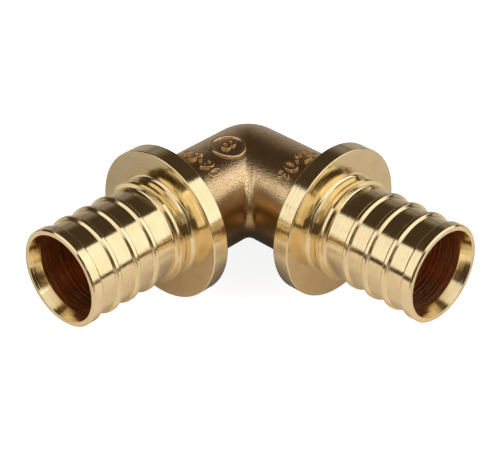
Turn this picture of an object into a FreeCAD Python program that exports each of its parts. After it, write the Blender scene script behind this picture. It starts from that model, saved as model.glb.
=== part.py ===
import FreeCAD, Part
import math
import os
import Sketcher

# A brass elbow that joins two plastic pipes at a right angle. It is one forging, turned and drilled from
# both ends. Each pipe is widened, pushed over a ribbed spigot, and held there by a sleeve that is drawn up
# to the flange. The elbow is drawn with its arms along X and Y and then laid down as it rests: on its heel
# and the back edges of both flanges, with the mouths towards -Y and a little raised. The origin is where
# the axes of the arms cross.

NODE = "elbow_body"

# Millimetres and degrees. Lengths are measured along an arm, away from the crossing.
SIZES = {
    # Forged body: two round arms that meet in a crease, with a ball for a heel
    "forged_diameter": 22.0,
    "crease_radius": 2.0,
    # Flange that the sleeve is drawn up to
    "flange_distance": 22.1,
    "flange_thickness": 3.75,
    "flange_diameter": 31.9,
    "flange_edge": 0.25,
    "flange_back_root": 0.5,
    "flange_front_root": 0.6,
    # Seat and collar, which stop the end of the pipe
    "seat_diameter": 20.0,
    "seat_length": 1.75,
    "collar_diameter": 21.6,
    "collar_back": 1.55,
    "collar_land": 0.75,
    "collar_front": 0.75,
    # Spigot: a turned core with ribs that grip the pipe, and a last land at the mouth
    "core_diameter": 19.4,
    "neck_length": 4.0,
    "crest_diameter": 20.5,
    "rib_count": 3,
    "rib_pitch": 4.87,
    "rib_back": 0.5,
    "rib_land": 0.7,
    "rib_front": 0.35,
    "end_land": 2.1,
    "mouth_edge": 0.3,
    # Water passage: drilled a little past the crossing from each mouth, and countersunk there
    "bore_diameter": 16.6,
    "bore_overrun": 2.0,
    "drill_point_angle": 118.0,
    "mouth_diameter": 18.3,
    "countersink_depth": 2.45,
}

# How a sketch numbers its own origin and axes, and the points of a line or an arc
ORIGIN_INDEX = -1
LONG_AXIS_INDEX = -1
CROSS_AXIS_INDEX = -2
START_INDEX = 1
END_INDEX = 2
CENTRE_INDEX = 3

QUARTER_TURN = 90.0
HALF_CORNER = 45.0
SAME_PLACE = 1e-6


def make_sheet(document):
    """Writes the sizes into the sheet that every sketch and feature reads."""
    sheet = document.addObject("Spreadsheet::Sheet", "Sizes")
    for row, (name, value) in enumerate(SIZES.items(), start=1):
        sheet.set(f"A{row}", name)
        sheet.set(f"B{row}", str(value))
        sheet.setAlias(f"B{row}", name)


def origin_plane(body, role):
    """Gives one of the body's own origin planes."""
    return next(feature for feature in body.Origin.OriginFeatures if feature.Role == role)


def new_sketch(body, name, role="XY_Plane"):
    """Starts a sketch on one of the body's origin planes."""
    sketch = body.newObject("Sketcher::SketchObject", name)
    sketch.AttachmentSupport = [(origin_plane(body, role), "")]
    sketch.MapMode = "FlatFace"
    return sketch


def constrain(sketch, kind, *points):
    """Adds a constraint that holds points or lines to each other or to the axes."""
    sketch.addConstraint(Sketcher.Constraint(kind, *points))


def tie(sketch, expression, kind, *points):
    """Adds a dimension that follows the sheet."""
    rough_value = 1.0
    index = sketch.addConstraint(Sketcher.Constraint(kind, *points, rough_value))
    sketch.setExpression(f"Constraints[{index}]", expression)


def measure(sketch, name, line):
    """Adds a named dimension that only reads how far along the axis a line ends."""
    rough_value = 1.0
    ends = (ORIGIN_INDEX, START_INDEX, line, END_INDEX)
    index = sketch.addConstraint(Sketcher.Constraint("DistanceX", *ends, rough_value))
    sketch.setDriving(index, False)
    sketch.renameConstraint(index, name)


def draw_outline(sketch, corners):
    """Draws a closed outline of straight lines, to be turned about the sketch's horizontal axis.

    Each named corner has a pair of expressions: how far it lies past the corner before it, and its
    distance from the axis. None leaves that as it was, and "axis" puts the corner on the axis, where the
    first one always is. The lines are drawn as a rough zigzag, and their dimensions move them into place.
    Gives the line that ends at each corner.
    """
    rough = [FreeCAD.Vector(index, 1 + index % 2, 0) for index in range(len(corners))]
    lines = [
        sketch.addGeometry(Part.LineSegment(before, corner))
        for before, corner in zip(rough[-1:] + rough, rough)
    ]
    for line, following in zip(lines, lines[1:] + lines[:1]):
        constrain(sketch, "Coincident", line, END_INDEX, following, START_INDEX)
    constrain(sketch, "PointOnObject", lines[0], END_INDEX, LONG_AXIS_INDEX)
    for line, (run, height) in list(zip(lines, corners.values()))[1:]:
        if run is None:
            constrain(sketch, "Vertical", line)
        else:
            tie(sketch, run, "DistanceX", line, START_INDEX, line, END_INDEX)
        if height is None:
            constrain(sketch, "Horizontal", line)
        elif height == "axis":
            constrain(sketch, "PointOnObject", line, END_INDEX, LONG_AXIS_INDEX)
        else:
            tie(sketch, height, "DistanceY", ORIGIN_INDEX, START_INDEX, line, END_INDEX)
    return dict(zip(corners, lines))


def turn(body, kind, name, sketch, axis="H_Axis"):
    """Turns a sketch's outline about one of its axes, to add material or to cut it away."""
    feature = body.newObject(f"PartDesign::{kind}", name)
    feature.Profile = sketch
    feature.ReferenceAxis = (sketch, [axis])
    return feature


def edges_of_kind(shape, curve, wanted=lambda edge: True):
    """Names the shape's edges that follow a kind of curve and are wanted."""
    return [
        f"Edge{index}"
        for index, edge in enumerate(shape.Edges, start=1)
        if not edge.Degenerated and isinstance(edge.Curve, curve) and wanted(edge)
    ]


def rings(body, corners):
    """Names the ring that each corner of an outline has become, once turned about X."""

    def wanted(edge):
        ring = FreeCAD.Vector(edge.Curve.Center.x, edge.Curve.Radius, 0)
        return any(ring.isEqual(corner, SAME_PLACE) for corner in corners)

    return edges_of_kind(body.Tip.Shape, Part.Circle, wanted)


def finish_edges(body, kind, edges, size):
    """Rounds or chamfers edges of the body's last feature, by the size from the sheet that has its name."""
    base = body.Tip
    feature = body.newObject(f"PartDesign::{kind}", size)
    feature.Base = (base, edges)
    feature.setExpression({"Fillet": "Radius", "Chamfer": "Size"}[kind], f"Sizes.{size}")
    body.Document.recompute()


def add_blank(body):
    """Turns one arm as a blank: forged body, flange, seat, collar, core and end land."""
    sketch = new_sketch(body, "blank_outline")
    lines = draw_outline(sketch, {
        "crossing": (None, "axis"),
        "forged_start": (None, "Sizes.forged_diameter / 2"),
        "forged_end": ("Sizes.flange_distance", None),
        "flange_back": (None, "Sizes.flange_diameter / 2"),
        "flange_front": ("Sizes.flange_thickness", None),
        "seat_start": (None, "Sizes.seat_diameter / 2"),
        "seat_end": ("Sizes.seat_length", None),
        "collar_back": ("Sizes.collar_back", "Sizes.collar_diameter / 2"),
        "collar_front": ("Sizes.collar_land", None),
        "neck_start": ("Sizes.collar_front", "Sizes.core_diameter / 2"),
        "neck_end": ("Sizes.neck_length", None),
        "core_end": ("Sizes.rib_count * Sizes.rib_pitch", None),
        "end_land": ("Sizes.rib_back", "Sizes.crest_diameter / 2"),
        "mouth_rim": ("Sizes.end_land", None),
        "mouth_centre": (None, "axis"),
    })
    constrain(sketch, "PointOnObject", lines["crossing"], END_INDEX, CROSS_AXIS_INDEX)
    measure(sketch, "neck_end", lines["neck_end"])
    measure(sketch, "arm_length", lines["mouth_rim"])
    turn(body, "Revolution", "blank", sketch)
    body.Document.recompute()
    chamfered = {
        "flange_edge": ["flange_back", "flange_front"],
        "flange_back_root": ["forged_end"],
        "flange_front_root": ["seat_start"],
        "mouth_edge": ["mouth_rim"],
    }
    for size, names in chamfered.items():
        corners = [sketch.getPoint(lines[name], END_INDEX) for name in names]
        finish_edges(body, "Chamfer", rings(body, corners), size)


def add_ribs(body):
    """Turns one rib on the core and repeats it towards the mouth."""
    sketch = new_sketch(body, "rib_outline")
    lines = draw_outline(sketch, {
        "back_centre": (None, "axis"),
        "back_foot": (None, "Sizes.core_diameter / 2"),
        "crest_back": ("Sizes.rib_back", "Sizes.crest_diameter / 2"),
        "crest_front": ("Sizes.rib_land", None),
        "front_foot": ("Sizes.rib_front", "Sizes.core_diameter / 2"),
        "front_centre": (None, "axis"),
    })
    neck_end = "blank_outline.Constraints.neck_end"
    tie(sketch, neck_end, "DistanceX", ORIGIN_INDEX, START_INDEX, lines["back_centre"], END_INDEX)
    rib = turn(body, "Revolution", "rib", sketch)
    body.Document.recompute()
    ribs = body.newObject("PartDesign::LinearPattern", "ribs")
    ribs.Originals = [rib]
    ribs.Direction = (sketch, ["H_Axis"])
    ribs.Mode = "Spacing"
    ribs.setExpression("Offset", "Sizes.rib_pitch")
    ribs.setExpression("Occurrences", "Sizes.rib_count")
    body.Tip = ribs
    body.Document.recompute()


def add_mitre(body):
    """Adds the plane halfway between the arms, which mirrors one to the other."""
    mitre = body.newObject("PartDesign::Plane", "mitre")
    mitre.AttachmentSupport = [(origin_plane(body, "YZ_Plane"), "")]
    mitre.MapMode = "FlatFace"
    mitre.AttachmentOffset.Rotation = FreeCAD.Rotation(FreeCAD.Vector(0, 1, 0), -HALF_CORNER)
    return mitre


def mirror(body, name, mitre, features=None):
    """Repeats features, or the whole body where none is given, on the other side of the mitre."""
    feature = body.newObject("PartDesign::Mirrored", name)
    if features:
        feature.Originals = features
    else:
        feature.TransformMode = "Whole shape"
    feature.MirrorPlane = (mitre, [""])
    body.Tip = feature
    body.Document.recompute()


def add_heel(body):
    """Closes the outer corner with a quarter of a ball, turned from a half disc."""
    sketch = new_sketch(body, "heel_outline", "XZ_Plane")
    top = FreeCAD.Vector(0, 1, 0)
    circle = Part.Circle(FreeCAD.Vector(), FreeCAD.Vector(0, 0, 1), top.Length)
    arc = sketch.addGeometry(Part.ArcOfCircle(circle, math.radians(90), math.radians(270)))
    line = sketch.addGeometry(Part.LineSegment(top, -top))
    constrain(sketch, "Coincident", arc, CENTRE_INDEX, ORIGIN_INDEX, START_INDEX)
    for end in (START_INDEX, END_INDEX):
        constrain(sketch, "Coincident", line, end, arc, end)
        constrain(sketch, "PointOnObject", line, end, CROSS_AXIS_INDEX)
    tie(sketch, "Sizes.forged_diameter / 2", "Radius", arc)
    heel = turn(body, "Revolution", "heel", sketch, "V_Axis")
    heel.Angle = QUARTER_TURN
    body.Document.recompute()


def add_bores(body, mitre):
    """Drills and countersinks one arm a little past the crossing, and mirrors the cut to the other."""
    arm_length = "blank_outline.Constraints.arm_length"
    sketch = new_sketch(body, "bore_outline")
    point_length = "Sizes.bore_diameter / 2 / tan(Sizes.drill_point_angle / 2)"
    lines = draw_outline(sketch, {
        "point": (None, "axis"),
        "bore_start": (point_length, "Sizes.bore_diameter / 2"),
        "bore_end": (f"{arm_length} + (Sizes.bore_overrun - Sizes.countersink_depth) * 1 mm", None),
        "mouth_rim": ("Sizes.countersink_depth", "Sizes.mouth_diameter / 2"),
        "mouth_centre": (None, "axis"),
    })
    tie(sketch, arm_length, "DistanceX", ORIGIN_INDEX, START_INDEX, lines["mouth_rim"], END_INDEX)
    bore = turn(body, "Groove", "bore", sketch)
    body.Document.recompute()
    mirror(body, "second_bore", mitre, [bore])


def lay_down(body):
    """Turns the finished elbow about the crossing until its heel and both flanges touch the ground.

    Each arm then rises by one angle. It is the one where the heel's ball and the chamfered back edge of
    the flange reach equally far down.
    """
    along = SIZES["flange_distance"] + SIZES["flange_edge"]
    across = SIZES["flange_diameter"] / 2
    heel = SIZES["forged_diameter"] / 2
    rise = math.acos(heel / math.hypot(along, across)) - math.atan2(along, across)
    tilt = math.degrees(math.asin(math.sin(rise) / math.cos(math.radians(HALF_CORNER))))
    face_front = FreeCAD.Rotation(FreeCAD.Vector(0, 0, 1), -QUARTER_TURN - HALF_CORNER)
    lean_back = FreeCAD.Rotation(FreeCAD.Vector(1, 0, 0), -tilt)
    body.Placement = FreeCAD.Placement(FreeCAD.Vector(), lean_back * face_front)


def check(document, body):
    """Stops the build if an object has failed, a sketch is loose or the elbow isn't one sound solid."""
    for thing in document.Objects:
        if {"Invalid", "Error"} & set(thing.State):
            raise RuntimeError(f"{thing.Label} failed: {thing.State}")
        if thing.TypeId == "Sketcher::SketchObject" and not thing.FullyConstrained:
            raise RuntimeError(f"{thing.Label} has a loose corner")
    if body.Shape.isNull() or not body.Shape.isValid() or len(body.Shape.Solids) != 1:
        raise RuntimeError(f"{body.Label} isn't one sound solid")


document = FreeCAD.newDocument("pipe_elbow")
make_sheet(document)
body = document.addObject("PartDesign::Body", NODE)
add_blank(body)
add_ribs(body)
mitre = add_mitre(body)
mirror(body, "second_arm", mitre)
add_heel(body)
finish_edges(body, "Fillet", edges_of_kind(body.Tip.Shape, Part.Ellipse), "crease_radius")
add_bores(body, mitre)
lay_down(body)
document.recompute()
check(document, body)
os.makedirs("parts", exist_ok=True)
body.Shape.exportStep(f"parts/{body.Label}.step")
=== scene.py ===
import math

import bmesh
import bpy
from mathutils import Matrix, Vector


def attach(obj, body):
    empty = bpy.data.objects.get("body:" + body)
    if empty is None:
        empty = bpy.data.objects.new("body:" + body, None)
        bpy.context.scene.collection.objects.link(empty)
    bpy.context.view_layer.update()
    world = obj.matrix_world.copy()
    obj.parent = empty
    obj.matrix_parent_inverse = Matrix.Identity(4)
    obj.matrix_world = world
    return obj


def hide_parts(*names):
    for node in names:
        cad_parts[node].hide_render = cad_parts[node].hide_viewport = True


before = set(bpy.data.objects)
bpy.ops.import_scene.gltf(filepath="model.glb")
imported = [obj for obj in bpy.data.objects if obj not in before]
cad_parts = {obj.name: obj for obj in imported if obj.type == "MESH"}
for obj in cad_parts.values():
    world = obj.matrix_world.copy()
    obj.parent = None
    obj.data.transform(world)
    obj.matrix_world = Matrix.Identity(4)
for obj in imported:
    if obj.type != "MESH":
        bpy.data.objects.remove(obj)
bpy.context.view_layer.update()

# Turned arm: a spigot with three ribs, a collar, the seat for the sleeve and the flange. On the real elbow it
# is cut on a lathe from the forged brass blank, so all of it is round about the arm's axis. It is drawn along
# +X from the crossing, in millimetres: half a section first, which is then turned once round.
MM = 0.001
SHORTEST_LINE = 1e-6
LINE_MARGIN = 0.04
DEGREES_PER_ARC_STEP = 11
TURNING_STEPS = 160
MERGE_DISTANCE = 0.002
BORE_RADIUS = 8.3
FORGED_RADIUS = 11.0
BEND_END = 21.5
FLANGE_BACK = 22.1
FLANGE_FRONT = 25.85
FLANGE_RADIUS = 15.95
FLANGE_EDGE = 0.25
SEAT_RADIUS = 10.0
SEAT_END = 27.6
COLLAR_RADIUS = 10.8
COLLAR_LAND = (29.15, 29.9)
COLLAR_FOOT = 30.27
CORE_RADIUS = 9.7
FIRST_RIB = 34.65
RIB_PITCH = 4.87
RIB_COUNT = 3
RIB_BACK = 0.5
RIB_LAND = 0.7
RIB_FRONT = 0.35
CREST_RADIUS = 10.25
MOUTH = 51.86
MOUTH_RADIUS = 9.15
MOUTH_EDGE = 0.3
COUNTERSINK_END = 49.41


def start_drawing(name, station, radius):
    """Puts down one point in the plane of the section, ready to be drawn on from."""
    bpy.ops.object.select_all(action="DESELECT")
    bpy.ops.mesh.primitive_plane_add(size=MM, location=(0, 0, 0))
    bpy.context.object.name = name
    bpy.context.object.data.name = name
    bpy.ops.object.mode_set(mode="EDIT")
    bpy.ops.mesh.merge(type="CENTER")
    bpy.ops.transform.translate(value=(station * MM, radius * MM, 0))


def draw_line(start, end):
    """Draws straight from start to end, with a point close to each end that keeps the shading straight."""
    run = end - start
    if run.length < SHORTEST_LINE:
        return
    stops = [end]
    if run.length > 4 * LINE_MARGIN:
        step = run.normalized() * LINE_MARGIN
        stops = [start + step, end - step, end]
    for before, stop in zip([start] + stops, stops):
        move = (stop - before) * MM
        bpy.ops.mesh.extrude_region_move(TRANSFORM_OT_translate={"value": (move.x, move.y, 0)})


def draw_arc(start, heading, bend, radius):
    """Draws an arc that leaves start along heading and turns by bend, to the left if that is positive."""
    side = math.copysign(1, bend)
    centre = start + Vector((-heading.y, heading.x)) * side * radius
    steps = max(3, round(abs(math.degrees(bend)) / DEGREES_PER_ARC_STEP))
    bpy.ops.mesh.spin(steps=steps, angle=-bend, center=(centre.x * MM, centre.y * MM, 0), axis=(0, 0, 1))


def draw_section(name, corners):
    """Draws a section from corner to corner. Each corner has a station, a radius and its own rounding."""
    points = [Vector(corner[:2]) for corner in corners]
    start_drawing(name, *points[0])
    pen = points[0]
    for corner, here, after, (_, _, rounding) in zip(points, points[1:], points[2:], corners[1:]):
        heading = (here - pen).normalized()
        leaving = (after - here).normalized()
        bend = math.atan2(heading.x * leaving.y - heading.y * leaving.x, heading.dot(leaving))
        trim = rounding * math.tan(abs(bend) / 2)
        draw_line(pen, here - heading * trim)
        if rounding:
            draw_arc(here - heading * trim, heading, bend, rounding)
        pen = here + leaving * trim
    draw_line(pen, points[-1])


def turn_section():
    """Turns the section that is being drawn once round the X axis, and gives the finished object."""
    bpy.ops.mesh.select_all(action="SELECT")
    bpy.ops.mesh.spin(steps=TURNING_STEPS, angle=math.tau, center=(0, 0, 0), axis=(1, 0, 0))
    bpy.ops.mesh.select_all(action="SELECT")
    bpy.ops.mesh.remove_doubles(threshold=MERGE_DISTANCE * MM)
    bpy.ops.object.mode_set(mode="OBJECT")
    return bpy.context.object


rib_corners = []
for rib in range(RIB_COUNT):
    foot = FIRST_RIB + rib * RIB_PITCH
    rib_corners += [
        (foot, CORE_RADIUS, 0.06),
        (foot + RIB_BACK, CREST_RADIUS, 0.06),
        (foot + RIB_BACK + RIB_LAND, CREST_RADIUS, 0.22),
        (foot + RIB_BACK + RIB_LAND + RIB_FRONT, CORE_RADIUS, 0.1),
    ]
end_land = FIRST_RIB + RIB_COUNT * RIB_PITCH
draw_section("left_arm", [
    (BEND_END, FORGED_RADIUS, 0),
    (FLANGE_BACK, FORGED_RADIUS, 0.55),
    (FLANGE_BACK, FLANGE_RADIUS, FLANGE_EDGE),
    (FLANGE_FRONT, FLANGE_RADIUS, FLANGE_EDGE),
    (FLANGE_FRONT, SEAT_RADIUS, 0.95),
    (SEAT_END, SEAT_RADIUS, 0.5),
    (COLLAR_LAND[0], COLLAR_RADIUS, 0.25),
    (COLLAR_LAND[1], COLLAR_RADIUS, 0.12),
    (COLLAR_FOOT, CORE_RADIUS, 0.45),
    *rib_corners,
    (end_land, CORE_RADIUS, 0.06),
    (end_land + RIB_BACK, CREST_RADIUS, 0.06),
    (MOUTH - MOUTH_EDGE, CREST_RADIUS, 0.1),
    (MOUTH, CREST_RADIUS - MOUTH_EDGE, 0.1),
    (MOUTH, MOUTH_RADIUS, 0.08),
    (COUNTERSINK_END, BORE_RADIUS, 0.1),
    (BEND_END, BORE_RADIUS, 0),
])
arm = turn_section()

# Forged bend: the rough shell between the flanges. It is pressed hot between two dies and then only blasted,
# so it keeps its round heel, the softly filled crease where the arms meet, and the thin line where the dies
# closed. Half of it is modelled here, up to the plane halfway between the arms.
HALF_CORNER = math.radians(45)
RING_STATIONS = (14.0, 8.0, 3.0, 0.0)
HEEL_STEPS = 20
CREASE_RADIUS = 2.0
CREASE_STEPS = 8
CREASE_STRIP = 0.12
DIE_LINE_HEIGHT = 0.04
DIE_LINE_WIDTH = 0.35
CUT_TOLERANCE = 0.0005
NEAR = 0.001

draw_section("bend", [(station, FORGED_RADIUS, 0) for station in (BEND_END, *RING_STATIONS)])
bend = turn_section()


def select_points(wanted):
    """In edit mode, selects the points whose place is wanted, with the edges and faces between them."""
    shape = bmesh.from_edit_mesh(bpy.context.object.data)
    for point in shape.verts:
        point.select = wanted(point.co / MM)
    shape.select_flush_mode()
    shape.select_flush(True)
    bmesh.update_edit_mesh(bpy.context.object.data)


# the shell is cut along the edge of the crease, with a narrow strip that keeps the shading beside it straight
crease_edge = FORGED_RADIUS + CREASE_RADIUS
cut_normal = Vector((FORGED_RADIUS, -crease_edge, 0)).normalized()
bpy.ops.object.mode_set(mode="EDIT")
for offset, clear in ((CREASE_STRIP, False), (0.0, True)):
    bpy.ops.mesh.select_all(action="SELECT")
    bpy.ops.mesh.bisect(plane_co=cut_normal * offset * MM, plane_no=cut_normal, clear_inner=clear,
                        threshold=CUT_TOLERANCE * MM)

# the heel is round like a ball: the last half ring of the tube, turned on to the plane between the arms
bpy.ops.mesh.select_mode(type="VERT")
select_points(lambda place: abs(place.x) < NEAR and place.y < NEAR)
bpy.ops.mesh.spin(steps=HEEL_STEPS, angle=HALF_CORNER, center=(0, 0, 0), axis=(0, 0, 1))


def crease_point(angle, share):
    """Gives a place on the crease's fillet: angle goes round the arm and share across it, 1 being halfway."""
    across, up = math.cos(angle), math.sin(angle)
    centre = Vector((crease_edge * across, crease_edge * across, crease_edge * up))
    to_arm = Vector((0, -across, -up))
    to_middle = Vector((-across, -across, -2 * up)).normalized()
    return centre + to_arm.slerp(to_middle, share) * CREASE_RADIUS


def rounded_place(point):
    """Gives a point's place as a key to look it up by."""
    return tuple(round(x, 4) for x in point.co / MM)


# the crease: the cut edge is drawn out step by step, except at the top and bottom, where it has no width
select_points(lambda place: abs(place.dot(cut_normal)) < NEAR and place.y > -NEAR)
shape = bmesh.from_edit_mesh(bend.data)
angle_at = {rounded_place(point): math.atan2(point.co.z, max(point.co.y, 0))
            for point in shape.verts if point.select}
for step in range(1, CREASE_STEPS + 1):
    bpy.ops.mesh.extrude_edges_move()
    shape = bmesh.from_edit_mesh(bend.data)
    moved = {}
    for point in shape.verts:
        if point.select:
            angle = angle_at[rounded_place(point)]
            if abs(math.cos(angle)) > 1e-4:
                point.co = crease_point(angle, step / CREASE_STEPS) * MM
            moved[rounded_place(point)] = angle
    angle_at = moved
    bmesh.update_edit_mesh(bend.data)
bpy.ops.mesh.select_all(action="SELECT")
bpy.ops.mesh.remove_doubles(threshold=MERGE_DISTANCE * MM)

# the die line runs along the middle of the shell, in the plane of both arms
for height in (-DIE_LINE_WIDTH / 2, DIE_LINE_WIDTH / 2):
    bpy.ops.mesh.select_all(action="SELECT")
    bpy.ops.mesh.bisect(plane_co=(0, 0, height * MM), plane_no=(0, 0, 1), threshold=CUT_TOLERANCE * MM)
shape = bmesh.from_edit_mesh(bend.data)
for point in shape.verts:
    if abs(point.co.z) < NEAR * MM:
        out = point.co.copy()
        out.x = min(out.x, 0) if out.y < 0 else 0
        point.co += out.normalized() * DIE_LINE_HEIGHT * MM
bmesh.update_edit_mesh(bend.data)

# the end at the flange is closed for now, so that the drill can cut a solid
select_points(lambda place: abs(place.x - BEND_END) < NEAR)
bpy.ops.mesh.edge_face_add()
bpy.ops.mesh.select_all(action="SELECT")
bpy.ops.mesh.normals_make_consistent(inside=False)
bpy.ops.object.mode_set(mode="OBJECT")

# Whole elbow: the half is turned so that the arms point to -X -Y and +X -Y, mirrored, drilled from both ends
# and joined to its turned arms. Then it is laid down as the loose elbow lies, on its heel and both flanges.
FACE_FRONT = math.radians(-135)
BORE_OVERRUN = 2.0
DRILL_POINT = math.radians(118)
DRILL_ENTRY = BEND_END + 5
FLANGE_REST = FLANGE_BACK + FLANGE_EDGE
ARM_RISE = (math.acos(FORGED_RADIUS / math.hypot(FLANGE_REST, FLANGE_RADIUS))
            - math.atan2(FLANGE_REST, FLANGE_RADIUS))
TILT = math.asin(math.sin(ARM_RISE) / math.cos(HALF_CORNER))
SLIT_SIDES = 8
SMOOTH_BELOW = math.radians(28)


def only(thing):
    """Makes one object the active one and the only one selected."""
    bpy.ops.object.select_all(action="DESELECT")
    thing.select_set(True)
    bpy.context.view_layer.objects.active = thing


def apply_turn(thing, axis, angle):
    """Turns an object about one world axis and puts the turn into its mesh."""
    only(thing)
    thing.matrix_world = Matrix.Rotation(angle, 4, axis)
    bpy.ops.object.transform_apply(location=True, rotation=True, scale=True)


def mirror_half(thing):
    """Adds the other arm's half, mirrored across the plane between the arms."""
    only(thing)
    mirror = thing.modifiers.new("other_arm", "MIRROR")
    mirror.merge_threshold = MERGE_DISTANCE * MM
    bpy.ops.object.modifier_apply(modifier=mirror.name)


def face_outwards(thing):
    """Points all the faces of a closed object outwards."""
    only(thing)
    bpy.ops.object.mode_set(mode="EDIT")
    bpy.ops.mesh.select_all(action="SELECT")
    bpy.ops.mesh.normals_make_consistent(inside=False)
    bpy.ops.object.mode_set(mode="OBJECT")


def join(name, first, *others):
    """Joins objects into the first one and gives it a new name."""
    only(first)
    for thing in others:
        thing.select_set(True)
    bpy.ops.object.join()
    first.name = first.data.name = name
    return first


draw_section("drill", [
    (-BORE_OVERRUN - BORE_RADIUS / math.tan(DRILL_POINT / 2), 0, 0),
    (-BORE_OVERRUN, BORE_RADIUS, 0),
    (DRILL_ENTRY, BORE_RADIUS, 0),
    (DRILL_ENTRY, 0, 0),
])
drill = turn_section()
face_outwards(drill)
for thing in (arm, bend, drill):
    apply_turn(thing, "Z", FACE_FRONT)
mirror_half(bend)
mirror_half(arm)

only(drill)
bpy.ops.object.duplicate()
other_drill = bpy.context.object
other_drill.scale.x = -1
bpy.ops.object.transform_apply(location=False, rotation=False, scale=True)
face_outwards(other_drill)

only(bend)
for tool in (drill, other_drill):
    cut = bend.modifiers.new("bore", "BOOLEAN")
    cut.operation = "DIFFERENCE"
    cut.solver = "EXACT"
    cut.object = tool
    bpy.ops.object.modifier_apply(modifier=cut.name)
for tool in (drill, other_drill):
    bpy.data.objects.remove(tool)

# the closed ends are taken off again, so that the bend opens into its arms
arm_axes = [Vector((side * math.sqrt(0.5), -math.sqrt(0.5), 0)) for side in (-1, 1)]
bpy.ops.object.mode_set(mode="EDIT")
bpy.ops.mesh.select_mode(type="FACE")
shape = bmesh.from_edit_mesh(bend.data)
for face in shape.faces:
    face.select = any(all(abs(point.co.dot(axis) / MM - BEND_END) < NEAR for point in face.verts)
                      for axis in arm_axes)
bmesh.update_edit_mesh(bend.data)
bpy.ops.mesh.delete(type="FACE")
bpy.ops.object.mode_set(mode="OBJECT")

# hair-thin slits stay open where a ring with more points meets one with fewer, so they are filled
elbow = join("elbow", bend, arm)
bpy.ops.object.mode_set(mode="EDIT")
bpy.ops.mesh.select_all(action="SELECT")
bpy.ops.mesh.remove_doubles(threshold=MERGE_DISTANCE * MM)
bpy.ops.mesh.select_all(action="SELECT")
bpy.ops.mesh.fill_holes(sides=SLIT_SIDES)
bpy.ops.object.mode_set(mode="OBJECT")
face_outwards(elbow)
apply_turn(elbow, "X", -TILT)
bpy.ops.object.shade_smooth_by_angle(angle=SMOOTH_BELOW)

ARM_AXIS = Matrix.Rotation(-TILT, 3, "X") @ arm_axes[1]


def new_group(name, inputs, outputs):
    """Starts a shader node group whose inputs and outputs are numbers. Each input has its usual value."""
    group = bpy.data.node_groups.new(name, "ShaderNodeTree")
    for socket, value in inputs.items():
        made = group.interface.new_socket(socket, in_out="INPUT", socket_type="NodeSocketFloat")
        made.default_value = value
    for socket in outputs:
        group.interface.new_socket(socket, in_out="OUTPUT", socket_type="NodeSocketFloat")
    return group, group.nodes.new("NodeGroupInput"), group.nodes.new("NodeGroupOutput")


def use_group(tree, group):
    """Places a node group in a material or in another group."""
    node = tree.nodes.new("ShaderNodeGroup")
    node.node_tree = group
    return node


def maths(tree, operation, *values):
    """Adds a Math node whose inputs are numbers or other sockets, and gives its result."""
    node = tree.nodes.new("ShaderNodeMath")
    node.operation = operation
    for socket, value in zip(node.inputs, values):
        if isinstance(value, bpy.types.NodeSocket):
            tree.links.new(value, socket)
        else:
            socket.default_value = value
    return node.outputs[0]


def noise(tree, place, scale, detail, one_way=False):
    """Adds a Noise texture, in one dimension or in three, and gives its value."""
    node = tree.nodes.new("ShaderNodeTexNoise")
    node.noise_dimensions = "1D" if one_way else "3D"
    node.inputs["Scale"].default_value = scale
    node.inputs["Detail"].default_value = detail
    tree.links.new(place, node.inputs["W" if one_way else "Vector"])
    return node.outputs["Fac"]


# where a point lies along its own arm and out from the arm's axis, in metres
along_arm, _, group_out = new_group("along_arm", {}, ("Station", "Radius"))
place = along_arm.nodes.new("ShaderNodeTexCoord").outputs["Object"]
split = along_arm.nodes.new("ShaderNodeSeparateXYZ")
along_arm.links.new(place, split.inputs[0])
right_x = maths(along_arm, "ABSOLUTE", split.outputs["X"])
station = maths(along_arm, "ADD", maths(along_arm, "MULTIPLY", right_x, ARM_AXIS.x),
                maths(along_arm, "ADD", maths(along_arm, "MULTIPLY", split.outputs["Y"], ARM_AXIS.y),
                      maths(along_arm, "MULTIPLY", split.outputs["Z"], ARM_AXIS.z)))
length = along_arm.nodes.new("ShaderNodeVectorMath")
length.operation = "LENGTH"
along_arm.links.new(place, length.inputs[0])
square = maths(along_arm, "SUBTRACT", maths(along_arm, "POWER", length.outputs["Value"], 2),
               maths(along_arm, "POWER", station, 2))
radius = maths(along_arm, "SQRT", maths(along_arm, "MAXIMUM", square, 0))
along_arm.links.new(station, group_out.inputs["Station"])
along_arm.links.new(radius, group_out.inputs["Radius"])

# the rings that a lathe tool leaves, fine ones over broader ones, which run round the arm
FINE_RINGS = 7000
BROAD_RINGS = 2200
RING_HEIGHTS = (0.85, 1.15)
turned_rings, group_in, group_out = new_group("turned_rings", {"Depth": 1.0}, ("Height",))
place = use_group(turned_rings, along_arm)
fine = maths(turned_rings, "ADD", noise(turned_rings, place.outputs["Station"], FINE_RINGS, 2, True),
             noise(turned_rings, place.outputs["Radius"], FINE_RINGS, 2, True))
broad = maths(turned_rings, "ADD", noise(turned_rings, place.outputs["Station"], BROAD_RINGS, 1, True),
              noise(turned_rings, place.outputs["Radius"], BROAD_RINGS, 1, True))
height = maths(turned_rings, "MULTIPLY_ADD", broad, 0.6, maths(turned_rings, "MULTIPLY", fine, 0.4))
height = maths(turned_rings, "MULTIPLY", height, group_in.outputs["Depth"])
turned_rings.links.new(height, group_out.inputs["Height"])


def brass(name, colour, roughness):
    """Starts a bare metal and gives its material, its nodes and its shader."""
    material = bpy.data.materials.new(name)
    material.use_nodes = True
    shader = material.node_tree.nodes["Principled BSDF"]
    shader.inputs["Base Color"].default_value = (*colour, 1)
    shader.inputs["Metallic"].default_value = 1.0
    shader.inputs["Roughness"].default_value = roughness
    return material, material.node_tree, shader


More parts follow.
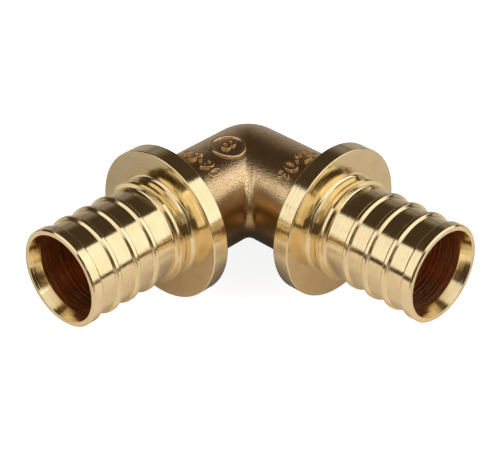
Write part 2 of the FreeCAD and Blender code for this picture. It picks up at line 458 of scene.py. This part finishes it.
def bump(tree, shader, height, distance):
    """Raises the surface by a height that other nodes give, times a distance in metres."""
    node = tree.nodes.new("ShaderNodeBump")
    node.inputs["Strength"].default_value = 1.0
    node.inputs["Distance"].default_value = distance
    tree.links.new(height, node.inputs["Height"])
    tree.links.new(node.outputs["Normal"], shader.inputs["Normal"])


def blend(tree, share, first, second):
    """Mixes two colours, each a plain colour or a socket, and gives the mixture."""
    node = tree.nodes.new("ShaderNodeMix")
    node.data_type = "RGBA"
    tree.links.new(share, node.inputs["Factor"])
    for socket, colour in ((node.inputs[6], first), (node.inputs[7], second)):
        if isinstance(colour, bpy.types.NodeSocket):
            tree.links.new(colour, socket)
        else:
            socket.default_value = (*colour, 1)
    return node.outputs[2]


def ramp(tree, value, start, end, low, high):
    """Maps a value that runs from start to end smoothly onto low to high."""
    node = tree.nodes.new("ShaderNodeMapRange")
    node.interpolation_type = "SMOOTHSTEP"
    for socket, number in zip(("From Min", "From Max", "To Min", "To Max"), (start, end, low, high)):
        node.inputs[socket].default_value = number
    tree.links.new(value, node.inputs["Value"])
    return node.outputs["Result"]


def distance_to(tree, place, point):
    """Gives how far a place is from a fixed point, in metres."""
    node = tree.nodes.new("ShaderNodeVectorMath")
    node.operation = "DISTANCE"
    node.inputs[1].default_value = point
    tree.links.new(place, node.inputs[0])
    return node.outputs["Value"]


# the turned faces are bright, a little darker in the tool's rings and duller where they were handled
CLEAN_METAL = (0.89, 0.745, 0.46)
HANDLED_METAL = (0.84, 0.67, 0.385)
RING_SHADE = (0.76, 0.59, 0.32)
TURNED_RELIEF = 0.000016
turned_brass, tree, shader = brass("turned_brass", (0.87, 0.72, 0.44), 0.09)
place = tree.nodes.new("ShaderNodeTexCoord").outputs["Object"]
handling = noise(tree, place, 260, 3)
rings = use_group(tree, turned_rings).outputs["Height"]
handled = blend(tree, ramp(tree, handling, 0.35, 0.75, 0, 1), CLEAN_METAL, HANDLED_METAL)
ringed = blend(tree, ramp(tree, rings, *RING_HEIGHTS, 0, 0.32), handled, RING_SHADE)
tree.links.new(ringed, shader.inputs["Base Color"])
roughness = maths(tree, "ADD", ramp(tree, handling, 0.3, 0.8, 0.075, 0.12), maths(tree, "MULTIPLY", rings, 0.02))
tree.links.new(roughness, shader.inputs["Roughness"])
unevenness = noise(tree, place, 700, 2)
bump(tree, shader, maths(tree, "MULTIPLY_ADD", unevenness, 0.35, rings), TURNED_RELIEF)

# the forged skin is matt and grainy and duller in patches, with painted shade, a dark brown, low in the crease
FORGED_SKIN = (0.75, 0.55, 0.315)
FORGED_PATCH = (0.65, 0.455, 0.25)
FORGED_GRAIN = (0.50, 0.345, 0.175)
FORGED_RELIEF = 0.00005
CREASE_PAINTED_SHADE = (0.36, 0.20, 0.07)
CREASE_FOOT = (0, -0.020, 0.001)
forged_brass, tree, shader = brass("forged_brass", (0.73, 0.53, 0.30), 0.24)
place = tree.nodes.new("ShaderNodeTexCoord").outputs["Object"]
grain = noise(tree, place, 3000, 3)
patches = noise(tree, place, 240, 3)
skin = blend(tree, ramp(tree, patches, 0.35, 0.7, 0, 1), FORGED_SKIN, FORGED_PATCH)
# painted shade: the skin darkens to brown low in the crease, round CREASE_FOOT
skin = blend(tree, ramp(tree, distance_to(tree, place, CREASE_FOOT), 0.006, 0.0115, 0.6, 0), skin, CREASE_PAINTED_SHADE)
skin = blend(tree, ramp(tree, grain, 0.36, 0.5, 1, 0), skin, FORGED_GRAIN)
tree.links.new(skin, shader.inputs["Base Color"])
tree.links.new(ramp(tree, grain, 0.3, 0.7, 0.27, 0.19), shader.inputs["Roughness"])
bump(tree, shader, grain, FORGED_RELIEF)

# the drill leaves coarser turns in the bore, with ridges between them that carry a painted highlight, a paler
# colour for their glints
BORE_METAL = (0.98, 0.54, 0.23)
BORE_RIDGE_PAINTED_GLINT = (1.0, 0.84, 0.68)
BORE_FEED = 0.0009
BORE_RELIEF = 0.00014
bored_brass, tree, shader = brass("bored_brass", BORE_METAL, 0.30)
rings = use_group(tree, turned_rings).outputs["Height"]
tree.links.new(ramp(tree, rings, *RING_HEIGHTS, 0.18, 0.34), shader.inputs["Roughness"])
station = use_group(tree, along_arm).outputs["Station"]
wander = noise(tree, station, 500, 1, True)
turn = maths(tree, "FRACT", maths(tree, "MULTIPLY_ADD", station, 1 / BORE_FEED, wander))
ridge = maths(tree, "POWER", turn, 5)
# painted highlight: the ridges' colour is mixed towards a pale one, standing in for their glints
painted_glints = blend(tree, ramp(tree, ridge, 0.3, 0.9, 0, 0.8), BORE_METAL, BORE_RIDGE_PAINTED_GLINT)
tree.links.new(painted_glints, shader.inputs["Base Color"])
bump(tree, shader, maths(tree, "MULTIPLY_ADD", rings, 0.5, ridge), BORE_RELIEF)

# each face gets the finish of the tool that made it: lathe, dies or drill
FINISHES = (turned_brass, forged_brass, bored_brass)
FACE_MARGIN = 0.02
HEEL_SKIN = 1.0
for material in FINISHES:
    elbow.data.materials.append(material)
for face in elbow.data.polygons:
    place = Vector((abs(face.center.x), face.center.y, face.center.z))
    station = place.dot(ARM_AXIS) / MM
    radius = math.sqrt(max((place / MM).length_squared - station ** 2, 0))
    in_heel = station < 0 and place.length / MM > FORGED_RADIUS - HEEL_SKIN
    if radius < BORE_RADIUS + FACE_MARGIN and station < COUNTERSINK_END and not in_heel:
        face.material_index = FINISHES.index(bored_brass)
    elif station < FLANGE_BACK - FACE_MARGIN:
        face.material_index = FINISHES.index(forged_brass)
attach(elbow, "root")
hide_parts("elbow_body")

# Raised figures: plain numbers behind each flange and a plain ring with a number on the left arm. They are
# forged with the bend, by hollows cut in the die, so they stand almost half a millimetre high, soft-edged.
FIGURE_SIZE = 4.4
FIGURE_SPACING = 1.05
FIGURE_SWELL = 0.03
FIGURE_EXTRUDE = 0.33
FIGURE_BEVEL = 0.10
FIGURE_GRID = 0.085
FIGURE_OUT = 0.03
RING_RADIUS = 3.5
RING_WIRE = 0.38
RING_FIGURE_SIZE = 4.8
RING_STATION, RING_ANGLE = 7.2, 96


def write_figures(words, size):
    """Makes a line of figures as a flat mesh with soft edges, one unit to the millimetre."""
    bpy.ops.object.select_all(action="DESELECT")
    bpy.ops.object.text_add(location=(0, 0, 0))
    line = bpy.context.object
    line.data.body = words
    line.data.size = size
    line.data.space_character = FIGURE_SPACING
    line.data.offset = FIGURE_SWELL
    line.data.align_x = line.data.align_y = "CENTER"
    line.data.extrude = FIGURE_EXTRUDE
    line.data.bevel_depth = FIGURE_BEVEL
    bpy.ops.object.convert(target="MESH")
    line = bpy.context.object
    remesh = line.modifiers.new("even_mesh", "REMESH")
    remesh.mode = "VOXEL"
    remesh.voxel_size = FIGURE_GRID
    soften = line.modifiers.new("soft_edges", "SMOOTH")
    soften.factor = 0.5
    soften.iterations = 1
    for name in ("even_mesh", "soft_edges"):
        bpy.ops.object.modifier_apply(modifier=name)
    return line


def lay_on_bend(thing, side, station, angle):
    """Lays a flat mesh on one arm of the bend, with its x round the arm and its y towards the crossing."""
    only(thing)
    axis = Vector((side * ARM_AXIS.x, ARM_AXIS.y, ARM_AXIS.z))
    up = Matrix.Rotation(-TILT, 3, "X") @ Vector((0, 0, 1))
    outer = up.cross(axis) * side
    for point in thing.data.vertices:
        around = math.radians(angle) - side * point.co.x / FORGED_RADIUS
        out = (outer * math.cos(around) + up * math.sin(around)) * (FORGED_RADIUS + FIGURE_OUT + point.co.z)
        point.co = (axis * (station - point.co.y) + out) * MM
    return thing


bpy.ops.mesh.primitive_torus_add(major_radius=RING_RADIUS, minor_radius=RING_WIRE, major_segments=96,
                                 minor_segments=14)
raised_figures = join(
    "raised_figures",
    lay_on_bend(bpy.context.object, -1, RING_STATION, RING_ANGLE),
    lay_on_bend(write_figures("8", RING_FIGURE_SIZE), -1, RING_STATION, RING_ANGLE),
    lay_on_bend(write_figures("25\u00b790", FIGURE_SIZE), -1, 15.2, 97),
    lay_on_bend(write_figures("90\u00b725", FIGURE_SIZE), 1, 15.6, 100),
)
face_outwards(raised_figures)
bpy.ops.object.shade_smooth()
raised_figures.data.materials.clear()
raised_figures.data.materials.append(forged_brass)
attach(raised_figures, "root")

# Studio: a pale table under plain soft lamps, tall ones at each side, one overhead and a narrow pair beyond the
# camera. The table has painted shade and painted shadows: it is darker behind the elbow, under its crotch and
# in four soft spots beside it. The lamps are kept out of the picture, and the table shows white there but keeps
# its shadow. Lengths are in metres here.
GROUND = -11.004 * MM
TABLE_SIZE = 6
TABLE_FRONT = (0.86, 0.785, 0.72)
TABLE_BACK_PAINTED_SHADE = (0.42, 0.40, 0.38)
TABLE_GLOW = 0.9
TABLE_GLOW_IN_METAL = 0.04
LAMP_SIDE = 0.50

bpy.ops.object.select_all(action="DESELECT")
bpy.ops.mesh.primitive_plane_add(size=TABLE_SIZE, location=(0, 0, GROUND))
table = bpy.context.object
table.name = "table"
paint = bpy.data.materials.new("pale_table")
paint.use_nodes = True
tree = paint.node_tree
shader = tree.nodes["Principled BSDF"]
place = tree.nodes.new("ShaderNodeTexCoord").outputs["Object"]
split = tree.nodes.new("ShaderNodeSeparateXYZ")
tree.links.new(place, split.inputs[0])
# painted shade: the table's colour darkens towards its back, behind the elbow
top = blend(tree, ramp(tree, split.outputs["Y"], -0.01, 0.05, 0, 1), TABLE_FRONT, TABLE_BACK_PAINTED_SHADE)
# each spot of painted shadow: its place across and along, the radius of its full shade, the radius where it
# ends, and its colour
for across, along, inner, outer, shade in (
        (-0.036, -0.027, 0.012, 0.024, (0.57, 0.45, 0.34)),
        (0.036, -0.027, 0.012, 0.024, (0.65, 0.54, 0.43)),
        (-0.060, -0.012, 0.014, 0.028, (0.50, 0.46, 0.42)),
        (0.060, -0.012, 0.014, 0.028, (0.70, 0.64, 0.58)),
        (0, -0.012, 0.004, 0.029, (0.10, 0.09, 0.08))):
    top = blend(tree, ramp(tree, distance_to(tree, place, (across, along, 0)), inner, outer, 1, 0), top, shade)
tree.links.new(top, shader.inputs["Base Color"])
shader.inputs["Roughness"].default_value = 0.9
shader.inputs["Specular IOR Level"].default_value = 0.0
rays = tree.nodes.new("ShaderNodeLightPath")
shader.inputs["Emission Color"].default_value = (1, 1, 1, 1)
tree.links.new(maths(tree, "MULTIPLY_ADD", rays.outputs["Is Camera Ray"], TABLE_GLOW,
                     maths(tree, "MULTIPLY", rays.outputs["Is Glossy Ray"], TABLE_GLOW_IN_METAL)),
               shader.inputs["Emission Strength"])
table.data.materials.append(paint)


def soft_lamp(name, place, look_at, width, height, brightness, top=(0, 0, 1)):
    """Adds a rectangular lamp that faces a point, with its height along top."""
    light = bpy.data.lights.new(name, "AREA")
    light.shape = "RECTANGLE"
    light.size, light.size_y = width, height
    light.energy = brightness * width * height * math.pi
    lamp = bpy.data.objects.new(name, light)
    bpy.context.scene.collection.objects.link(lamp)
    away = (Vector(place) - Vector(look_at)).normalized()
    across = Vector(top).cross(away).normalized()
    turn = Matrix((across, away.cross(across), away)).transposed()
    lamp.matrix_world = Matrix.Translation(place) @ turn.to_4x4()
    lamp.visible_camera = False
    return lamp


def side_lamp(name, side, brightness, y_range, z_range):
    """Adds an upright lamp beside the elbow, on the plane at LAMP_SIDE, that covers the two ranges."""
    y, z = sum(y_range) / 2, sum(z_range) / 2
    width, height = y_range[1] - y_range[0], z_range[1] - z_range[0]
    soft_lamp(name, (side * LAMP_SIDE, y, z), (0, y, z), width, height, brightness)


for side, word, brightness, low, back_edge, back_low, high in (
        (1, "right", 1.20, 0.062, 0.40, 0.08, 1.35), (-1, "left", 1.05, 0.085, 0.20, 0.23, 0.88)):
    side_lamp(word + "_front_lamp", side, brightness, (-0.48, 0.0), (low, high))
    side_lamp(word + "_back_lamp", side, brightness, (0.0, back_edge), (back_low, high))
soft_lamp("overhead_lamp", (0, -0.14, 0.8), (0, -0.14, 0), 0.7, 0.76, 0.9, (0, 1, 0))
for side, word in ((1, "right"), (-1, "left")):
    soft_lamp(word + "_narrow_lamp", (side * 0.122, -0.489, 0.486), (0, 0, 0), 0.14, 0.34, 0.8)
# the fill lamps light the table, and the metal doesn't show them
for side, word in ((1, "right"), (-1, "left")):
    fill_lamp = soft_lamp(word + "_fill_lamp", (side * 0.45, -0.06, 0.19), (0, -0.06, 0.0), 0.9, 0.3, 1.5)
    fill_lamp.visible_glossy = False

# the room: white for the camera, while the metal sees a dim warm one with a pale front and a faint back wall
ROOM_WARMTH = (1.0, 0.70, 0.42)
ROOM_DIM = 0.06
world = bpy.data.worlds.new("room")
bpy.context.scene.world = world
world.use_nodes = True
tree = world.node_tree
background = tree.nodes["Background"]
rays = tree.nodes.new("ShaderNodeLightPath")
place = tree.nodes.new("ShaderNodeTexCoord").outputs["Generated"]
split = tree.nodes.new("ShaderNodeSeparateXYZ")
tree.links.new(place, split.inputs[0])
wall = maths(tree, "MULTIPLY", ramp(tree, split.outputs["Z"], 0.05, 0.42, 0.26, 0.03),
             ramp(tree, split.outputs["Y"], 0.5, 0.8, 0.04, 1.0))
front = maths(tree, "MULTIPLY", ramp(tree, split.outputs["Z"], 0.05, 0.14, 0.62, 0.10),
              ramp(tree, split.outputs["Y"], -0.90, -0.72, 1.0, 0.0))
white = maths(tree, "MAXIMUM", rays.outputs["Is Camera Ray"],
              maths(tree, "MAXIMUM", front, maths(tree, "MULTIPLY", wall, 3.0)))
tree.links.new(blend(tree, white, ROOM_WARMTH, (1, 1, 1)), background.inputs["Color"])
tree.links.new(maths(tree, "MAXIMUM", maths(tree, "MAXIMUM", rays.outputs["Is Camera Ray"], ROOM_DIM),
                     maths(tree, "MAXIMUM", wall, front)), background.inputs["Strength"])

# the camera looks down at the elbow from the front, from a little over a third of a metre away
EYE = Vector((-5.602, -235.444, 267.243)) * MM
TARGET = Vector((0.43, -3.568, -11.708)) * MM
FOCAL_PIXELS = 1703.11
PICTURE_WIDTH = 500
ROLL = math.radians(0.52)
camera = bpy.data.objects.new("camera", bpy.data.cameras.new("camera"))
bpy.context.scene.collection.objects.link(camera)
camera.data.sensor_width = 36.0
camera.data.lens = FOCAL_PIXELS / PICTURE_WIDTH * camera.data.sensor_width
camera.data.clip_start = 0.01
camera.location = EYE
aim = (TARGET - EYE).to_track_quat("-Z", "Y").to_matrix()
camera.rotation_euler = (aim @ Matrix.Rotation(ROLL, 3, "Z")).to_euler()
bpy.context.scene.camera = camera
bpy.context.scene.view_settings.view_transform = "Standard"
